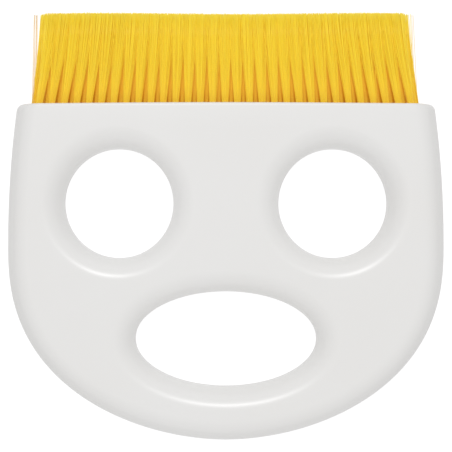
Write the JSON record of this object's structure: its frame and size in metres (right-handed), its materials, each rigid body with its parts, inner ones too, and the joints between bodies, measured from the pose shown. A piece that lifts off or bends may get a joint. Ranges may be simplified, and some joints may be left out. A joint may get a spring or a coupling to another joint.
{
  "type": "hand broom",
  "caption": "Flat hollow plastic handle with round and oval openings to grip or hang it by, and a straight trimmed brush of staggered yellow tufts along its top edge.",
  "frame": {"origin": "centre of the bounding box, on the flat back face that the broom lies on", "axes": "+X across the handle, +Y towards the bristle tips, +Z out of the front face"},
  "size_m": [0.2, 0.1956, 0.025],
  "materials": {
    "gloss_white": "glossy moulded plastic",
    "block_white": "plain moulded plastic",
    "yellow_nylon": "satin nylon filament"
  },
  "bodies": {
    "root": {"front_shell": "gloss_white", "rear_shell": "gloss_white", "tuft_block": "block_white", "tuft_column_01": "yellow_nylon", "tuft_column_02": "yellow_nylon", "tuft_column_03": "yellow_nylon", "tuft_column_04": "yellow_nylon", "tuft_column_05": "yellow_nylon", "tuft_column_06": "yellow_nylon", "tuft_column_07": "yellow_nylon", "tuft_column_08": "yellow_nylon", "tuft_column_09": "yellow_nylon", "tuft_column_10": "yellow_nylon", "tuft_column_11": "yellow_nylon", "tuft_column_12": "yellow_nylon", "tuft_column_13": "yellow_nylon", "tuft_column_14": "yellow_nylon", "tuft_column_15": "yellow_nylon", "tuft_column_16": "yellow_nylon", "tuft_column_17": "yellow_nylon", "tuft_column_18": "yellow_nylon", "tuft_column_19": "yellow_nylon", "tuft_column_20": "yellow_nylon", "tuft_column_21": "yellow_nylon", "tuft_column_22": "yellow_nylon", "tuft_column_23": "yellow_nylon", "tuft_column_24": "yellow_nylon", "tuft_column_25": "yellow_nylon", "tuft_column_26": "yellow_nylon", "tuft_column_27": "yellow_nylon", "tuft_column_28": "yellow_nylon", "tuft_column_29": "yellow_nylon", "tuft_column_30": "yellow_nylon", "tuft_column_31": "yellow_nylon", "tuft_column_32": "yellow_nylon"}
  },
  "joints": []
}
